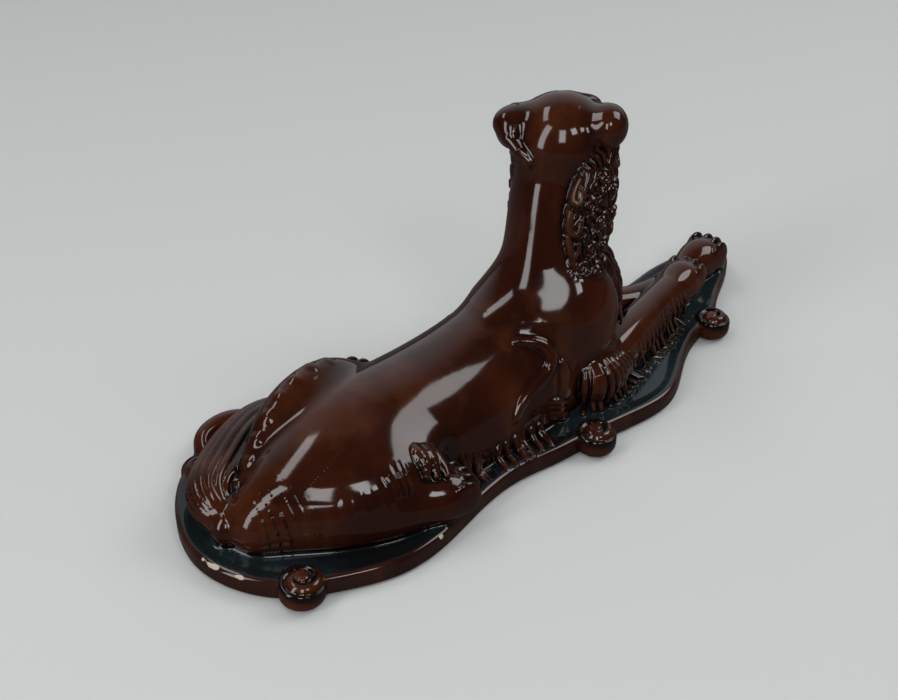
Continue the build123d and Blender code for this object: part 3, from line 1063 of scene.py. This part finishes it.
class Bench:
    """A node tree under construction."""

    def __init__(self, tree):
        self.tree = tree

    def node(self, kind, settings=None, sockets=None, output=0):
        """Adds a node with its settings and its sockets' values or links, and gives one of its outputs."""
        node = self.tree.nodes.new(kind)
        for key, value in (settings or {}).items():
            setattr(node, key, value)
        for key, value in (sockets or {}).items():
            if isinstance(value, Wire):
                self.tree.links.new(value.socket, node.inputs[key])
            else:
                node.inputs[key].default_value = value
        return Wire(self, node.outputs[output]) if node.outputs else None

    def layer(self, name):
        """A number stored on the mesh."""
        return self.node("ShaderNodeAttribute", {"attribute_name": name}, output="Fac")

    def spot(self, value, low, high):
        """A smooth step of a number between two levels."""
        settings = {"interpolation_type": "SMOOTHSTEP"}
        return self.node("ShaderNodeMapRange", settings, {"Value": value, "From Min": low, "From Max": high})

    def noise(self, scale, detail=3.0, stretch=(1, 1, 1)):
        """Clouds on the piece's own coordinates."""
        where = self.node("ShaderNodeTexCoord", output="Object")
        where = self.node("ShaderNodeMapping", None, {"Vector": where, "Scale": stretch})
        return self.node("ShaderNodeTexNoise", None, {"Vector": where, "Scale": scale, "Detail": detail})

    def tint(self, share, first, second):
        """One colour turning into another."""
        return self.node("ShaderNodeMix", {"data_type": "RGBA"}, {0: share, 6: first, 7: second}, 2)


def new_material(name):
    """An empty material and its bench."""
    material = bpy.data.materials.new(name)
    material.use_nodes = True
    material.node_tree.nodes.clear()
    return material, Bench(material.node_tree)


def glaze_shader(bench, colour, roughness, bump, bare=0.0):
    """A glassy lead glaze over a coloured body, dull where the clay is bare."""
    normal = bench.node("ShaderNodeBump", None, {"Strength": 0.15, "Distance": 0.0006, "Height": bump})
    shader = bench.node("ShaderNodeBsdfPrincipled", None, {
        "Base Color": colour, "Roughness": roughness + bare * 0.6, "IOR": 1.5, "Normal": normal,
    })
    bench.node("ShaderNodeOutputMaterial", None, {"Surface": shader})


def brown_glaze(bench, look):
    """Brown glaze colours: dark in hollows, amber where it runs thin over ridges."""
    clouds = bench.noise(26.0, 4.0, (1.0, 1.0, 0.6))
    colour = bench.tint(bench.spot(clouds, 0.38, 0.68), (*look.treacle, 1), (*look.amber, 1))
    streaks = bench.noise(90.0, 3.0, (1.0, 1.0, 0.25))
    colour = bench.tint(0.35 * bench.spot(streaks, 0.45, 0.75), colour, (*look.thin, 1))
    colour = bench.tint(0.7 * bench.spot(bench.layer("ridge"), 0.25, 0.9), colour, (*look.thin, 1))
    return bench.tint(bench.spot(bench.layer("pool"), 0.06, 0.5), colour, (*look.pooled, 1))


def treacle_glaze(look):
    """The brown glaze of the dog and the scrolls."""
    material, bench = new_material("treacle")
    roughness = 0.06 + 0.07 * bench.noise(120.0)
    glaze_shader(bench, brown_glaze(bench, look), roughness, bench.noise(70.0, 2.0))
    return material


def deck_glaze(look):
    """The base: blue-black on the deck, brown on the rim, chipped to the cream clay, and bare underneath."""
    material, bench = new_material("deck")
    clouds = bench.noise(24.0, 4.0)
    colour = bench.tint(bench.spot(clouds, 0.38, 0.66), (*look.deck, 1), (*look.deck_blue, 1))
    ragged = 0.5 * bench.noise(60.0, 3.0)
    rim = 0.75 * bench.spot(bench.layer("rim") + ragged, 0.6, 1.15)
    colour = bench.tint(rim, colour, brown_glaze(bench, look))
    bare = bench.spot(bench.layer("bare") + 1.6 * bench.noise(260.0, 4.0), 1.25, 1.4)
    colour = bench.tint(bare, colour, (*look.clay, 1))
    roughness = 0.06 + 0.08 * bench.noise(90.0)
    glaze_shader(bench, colour, roughness, bench.noise(60.0, 2.0), bare)
    return material


def dress(piece, material, slot, *nodes):
    """Gives a finished piece its material and its place in the frame."""
    if material:
        piece.data.materials.append(material)
    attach(piece, "root")
    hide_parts(*nodes)


FIGURE = Figure()


def carved(name, step):
    return carve(FIGURE, name, step * (1.0))


def clay_piece(name, step):
    """One carved piece of the figure as an object."""
    return add_mesh(name + "_clay", *carved(name, step))


def scroll_tree():
    """Nodes that make a scroll boss: a rounded drum with a spiral groove rolled into its top."""
    tree = bpy.data.node_groups.new("scroll_boss", "GeometryNodeTree")
    tree.is_modifier = True
    for name in ("Radius", "Height", "Pitch", "Depth", "Facing"):
        tree.interface.new_socket(name, in_out="INPUT", socket_type="NodeSocketFloat")
    tree.interface.new_socket("Place", in_out="INPUT", socket_type="NodeSocketVector")
    tree.interface.new_socket("Glaze", in_out="INPUT", socket_type="NodeSocketMaterial")
    tree.interface.new_socket("Geometry", in_out="OUTPUT", socket_type="NodeSocketGeometry")
    bench = Bench(tree)
    inputs = tree.nodes.new("NodeGroupInput")
    given = {socket.name: Wire(bench, socket) for socket in inputs.outputs}

    mesh = bench.node("GeometryNodeMeshUVSphere", None, {"Segments": 120, "Rings": 80, "Radius": 1.0})
    place = bench.node("GeometryNodeInputPosition")
    x, y, z = [bench.node("ShaderNodeSeparateXYZ", None, {0: place}, axis) for axis in "XYZ"]
    flat = (x * x + y * y) ** 0.5
    swell = (flat ** 3.2 + (z * z) ** 1.6) ** (-1.0 / 3.2)
    out = flat * swell
    turn = bench.node("ShaderNodeMath", {"operation": "ARCTAN2"}, {0: y, 1: x}) - given["Facing"]
    phase = out * given["Radius"] / given["Pitch"] - turn / math.tau
    wave = bench.node("ShaderNodeMath", {"operation": "SINE"}, {0: phase * math.pi})
    wave = (wave * wave) ** 0.35
    top = bench.spot(z * swell, 0.35, 0.8) * bench.spot(out, 0.12, 0.3)
    groove = (1.0 - wave) * top
    rise = 0.5 * given["Height"] * (1.0 + z * swell) - given["Depth"] * groove
    wide = given["Radius"] * swell
    spot = bench.node("ShaderNodeCombineXYZ", None, {"X": x * wide, "Y": y * wide, "Z": rise})
    mesh = bench.node("GeometryNodeSetPosition", None, {"Geometry": mesh, "Position": spot})
    for name, value in (("pool", 0.22 + 0.6 * groove), ("ridge", 0.3 * wave * top)):
        mesh = bench.node("GeometryNodeStoreNamedAttribute", {"data_type": "FLOAT", "domain": "POINT"},
                          {"Geometry": mesh, "Name": name, "Value": value})
    mesh = bench.node("GeometryNodeTransform", None, {"Geometry": mesh, "Translation": given["Place"]})
    mesh = bench.node("GeometryNodeSetShadeSmooth", None, {"Geometry": mesh})
    mesh = bench.node("GeometryNodeRealizeInstances", None, {"Geometry": mesh})
    mesh = bench.node("GeometryNodeSetMaterial", None, {"Geometry": mesh, "Material": given["Glaze"]})
    bench.node("NodeGroupOutput", None, {"Geometry": mesh})
    return tree


def scroll_piece(tree, node, facing, sizes):
    """One scroll boss over its node's box, as a plain mesh."""
    low, high = [Vector(corner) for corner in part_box(node)]
    maker = bpy.data.objects.new(node + "_maker", bpy.data.meshes.new(node + "_maker"))
    bpy.context.scene.collection.objects.link(maker)
    modifier = maker.modifiers.new("scroll", "NODES")
    modifier.node_group = tree
    values = {
        "Radius": (high.x - low.x) / 2, "Height": high.z - low.z,
        "Pitch": sizes.scroll_pitch, "Depth": sizes.scroll_depth, "Facing": math.radians(facing),
        "Place": ((low.x + high.x) / 2, (low.y + high.y) / 2, low.z), "Glaze": bpy.data.materials["treacle"],
    }
    for socket in tree.interface.items_tree:
        if socket.in_out == "INPUT":
            modifier[socket.identifier] = values[socket.name]
    maker.update_tag()
    shape = maker.evaluated_get(bpy.context.evaluated_depsgraph_get())
    piece = bpy.data.objects.new(node + "_clay", bpy.data.meshes.new_from_object(shape))
    bpy.context.scene.collection.objects.link(piece)
    bpy.data.objects.remove(maker)
    return piece


def place_camera(scene):
    """The camera at its viewing angle."""
    azimuth, elevation = math.radians(CAMERA_AZIMUTH), math.radians(CAMERA_ELEVATION)
    back = Vector((math.sin(azimuth) * math.cos(elevation), -math.cos(azimuth) * math.cos(elevation),
                   math.sin(elevation)))
    lens = bpy.data.cameras.new("camera")
    lens.lens = CAMERA_LENS
    camera = bpy.data.objects.new("camera", lens)
    camera.location = (Vector(CAMERA_TARGET) + back * CAMERA_DISTANCE) / 1000.0
    camera.rotation_euler = back.to_track_quat("Z", "Y").to_euler()
    scene.collection.objects.link(camera)
    bpy.context.scene.camera = camera


def lay_floor(scene):
    """A pale floor, which the glaze mirrors darker."""
    mesh = bpy.data.meshes.new("floor")
    corners = [(x * FLOOR_HALF, y * FLOOR_HALF, 0) for x, y in ((-1, -1), (1, -1), (1, 1), (-1, 1))]
    mesh.from_pydata(corners, [], [(0, 1, 2, 3)])
    floor = bpy.data.objects.new("floor", mesh)
    scene.collection.objects.link(floor)
    material, bench = new_material("floor")
    in_glaze = bench.node("ShaderNodeLightPath", output="Is Glossy Ray")
    colour = bench.tint(in_glaze, FLOOR_COLOUR, FLOOR_MIRRORED)
    shader = bench.node("ShaderNodeBsdfDiffuse", None, {"Color": colour})
    bench.node("ShaderNodeOutputMaterial", None, {"Surface": shader})
    mesh.materials.append(material)


def light_studio(scene):
    """Dim light from all round, stronger from the pale side."""
    world = bpy.data.worlds.new("studio")
    scene.world = world
    world.use_nodes = True
    world.node_tree.nodes.clear()
    bench = Bench(world.node_tree)
    toward = bench.node("ShaderNodeTexCoord", output="Generated")
    dot = {"operation": "DOT_PRODUCT"}
    facing = bench.node("ShaderNodeVectorMath", dot, {0: toward, 1: PALE_WAY}, "Value")
    strength = STUDIO_STRENGTH + PALE_STRENGTH * bench.spot(facing, 0.45, 1.0)
    shader = bench.node("ShaderNodeBackground", None, {"Color": STUDIO_COLOUR, "Strength": strength})
    bench.node("ShaderNodeOutputWorld", None, {"Surface": shader})


def hang_lamps(scene):
    """Oblong lamps round the figure, turned to it."""
    for name, (azimuth, elevation, distance, size, power, seen) in LAMPS.items():
        turn, lift = math.radians(azimuth), math.radians(elevation)
        toward = Vector((math.cos(turn) * math.cos(lift), math.sin(turn) * math.cos(lift), math.sin(lift)))
        lamp = bpy.data.lights.new(name, "AREA")
        lamp.shape = "RECTANGLE"
        lamp.size, lamp.size_y = size
        lamp.energy = power
        light = bpy.data.objects.new(name, lamp)
        light.location = toward * distance + LAMP_AIM
        light.rotation_euler = toward.to_track_quat("Z", "Y").to_euler()
        light.visible_glossy = seen
        scene.collection.objects.link(light)


class SpanielLook(bpy.types.PropertyGroup):
    """Colours of the glazes."""

    treacle: bpy.props.FloatVectorProperty(
        name="Treacle", description="The main brown glaze", subtype="COLOR", size=3, min=0, max=1,
        default=(0.030, 0.0052, 0.0020))
    amber: bpy.props.FloatVectorProperty(
        name="Amber", description="The brown glaze where it lies thinner", subtype="COLOR", size=3, min=0,
        max=1, default=(0.078, 0.0175, 0.005))
    thin: bpy.props.FloatVectorProperty(
        name="Thin", description="The glaze over ridges and edges", subtype="COLOR", size=3, min=0, max=1,
        default=(0.14, 0.042, 0.013))
    pooled: bpy.props.FloatVectorProperty(
        name="Pooled", description="The glaze in hollows", subtype="COLOR", size=3, min=0, max=1,
        default=(0.006, 0.0018, 0.0012))
    deck: bpy.props.FloatVectorProperty(
        name="Deck", description="The dark glaze on the deck", subtype="COLOR", size=3, min=0, max=1,
        default=(0.005, 0.0055, 0.0062))
    deck_blue: bpy.props.FloatVectorProperty(
        name="Deck blue", description="The bluish flush of the deck", subtype="COLOR", size=3, min=0, max=1,
        default=(0.013, 0.021, 0.025))
    clay: bpy.props.FloatVectorProperty(
        name="Clay", description="The bare clay in chips and underneath", subtype="COLOR", size=3, min=0,
        max=1, default=(0.52, 0.44, 0.33))


class SpanielSizes(bpy.types.PropertyGroup):
    """Fineness of the carving, and sizes of the scrolls."""

    body_step: bpy.props.FloatProperty(
        name="Body step", description="Mesh spacing of the body, in millimetres", default=0.95, min=0.3,
        max=4)
    limb_step: bpy.props.FloatProperty(
        name="Limb step", description="Mesh spacing of the left ear, legs, tail and rim lobe, in millimetres",
        default=0.6, min=0.3, max=4)
    curl_step: bpy.props.FloatProperty(
        name="Curl step", description="Mesh spacing of the right ear's curls, in millimetres", default=0.45,
        min=0.3, max=4)
    base_step: bpy.props.FloatProperty(
        name="Base step", description="Mesh spacing of the base, in millimetres", default=0.9, min=0.3, max=4)
    scroll_pitch: bpy.props.FloatProperty(
        name="Scroll pitch", description="Distance between the turns of a scroll", default=0.0052, min=0.001,
        max=0.02, unit="LENGTH")
    scroll_depth: bpy.props.FloatProperty(
        name="Scroll depth", description="Depth of the groove between the turns", default=0.0018, min=0.0,
        max=0.01, unit="LENGTH")


class SPANIEL_OT_body(bpy.types.Operator):
    """Carve the trunk, neck and head"""

    bl_idname = "spaniel.body"
    bl_label = "Body"

    def execute(self, context):
        piece = clay_piece("body", context.scene.spaniel_sizes.body_step)
        material = treacle_glaze(context.scene.spaniel_look)
        dress(piece, material, "treacle_glaze", "body_left_shell", "body_right_shell", "head_face_shell",
              "head_back_shell")
        return {"FINISHED"}


class SPANIEL_OT_limbs(bpy.types.Operator):
    """Carve the ears, legs, tail and rim lobe"""

    bl_idname = "spaniel.limbs"
    bl_label = "Ears, legs and tail"

    def execute(self, context):
        material = bpy.data.materials["treacle"]
        sizes = context.scene.spaniel_sizes
        dress(clay_piece("right_ear", sizes.curl_step), material, "treacle_glaze", "right_ear")
        for name in ("left_ear", "left_foreleg", "right_foreleg", "left_hind_leg", "right_hind_leg", "tail"):
            dress(clay_piece(name, sizes.limb_step), material, "treacle_glaze", name)
        piece = clay_piece("rim_lobe", sizes.limb_step)
        dress(piece, material, "rim_glaze", "rim_lobe_left_rear")
        return {"FINISHED"}


class SPANIEL_OT_base(bpy.types.Operator):
    """Carve the base"""

    bl_idname = "spaniel.base"
    bl_label = "Base"

    def execute(self, context):
        step = context.scene.spaniel_sizes.base_step
        vertices, quads, normals, layers = carved("base_plate", step)
        layers["rim"] = 1.0 - ease(edge_depth(vertices), 0.8, 3.6)
        layers["bare"] = ease(-BASE_THICKNESS - vertices[:, 2], -0.5, -0.1) * ease(-normals[:, 2], 0.5, 0.9)
        layers["bare"] = np.maximum(layers["bare"], chipped(vertices))
        piece = add_mesh("base_plate_clay", vertices, quads, normals, layers)
        dress(piece, deck_glaze(context.scene.spaniel_look), "base_glaze", "base_plate")
        return {"FINISHED"}


class SPANIEL_OT_scrolls(bpy.types.Operator):
    """Model the scroll bosses along the rim"""

    bl_idname = "spaniel.scrolls"
    bl_label = "Scrolls"

    def execute(self, context):
        tree = scroll_tree()
        for name, facing in SCROLL_FACINGS.items():
            node = "scroll_" + name
            dress(scroll_piece(tree, node, facing, context.scene.spaniel_sizes), None, "rim_glaze", node)
        return {"FINISHED"}


class SPANIEL_OT_stage(bpy.types.Operator):
    """Set up the floor, the light and the camera"""

    bl_idname = "spaniel.stage"
    bl_label = "Stage"

    def execute(self, context):
        place_camera(context.scene)
        context.scene.view_settings.view_transform = "Standard"
        lay_floor(context.scene)
        light_studio(context.scene)
        hang_lamps(context.scene)
        return {"FINISHED"}


class SPANIEL_PT_panel(bpy.types.Panel):
    """The spaniel's pieces, sizes and colours"""

    bl_idname = "SPANIEL_PT_panel"
    bl_label = "Spaniel"
    bl_space_type = "VIEW_3D"
    bl_region_type = "UI"
    bl_category = "Spaniel"

    def draw(self, context):
        for group in (context.scene.spaniel_sizes, context.scene.spaniel_look):
            for key in group.__annotations__:
                self.layout.prop(group, key)
        for operator in OPERATORS:
            self.layout.operator(operator.bl_idname)


OPERATORS = (SPANIEL_OT_body, SPANIEL_OT_limbs, SPANIEL_OT_base, SPANIEL_OT_scrolls, SPANIEL_OT_stage)
CLASSES = (SpanielLook, SpanielSizes, *OPERATORS, SPANIEL_PT_panel)


def register():
    for item in CLASSES:
        bpy.utils.register_class(item)
    bpy.types.Scene.spaniel_look = bpy.props.PointerProperty(type=SpanielLook)
    bpy.types.Scene.spaniel_sizes = bpy.props.PointerProperty(type=SpanielSizes)


def unregister():
    del bpy.types.Scene.spaniel_sizes
    del bpy.types.Scene.spaniel_look
    for item in reversed(CLASSES):
        bpy.utils.unregister_class(item)


def main():
    register()
    bpy.ops.spaniel.body()
    bpy.ops.spaniel.limbs()
    bpy.ops.spaniel.base()
    bpy.ops.spaniel.scrolls()
    bpy.ops.spaniel.stage()


if __name__ == "__main__":
    main()
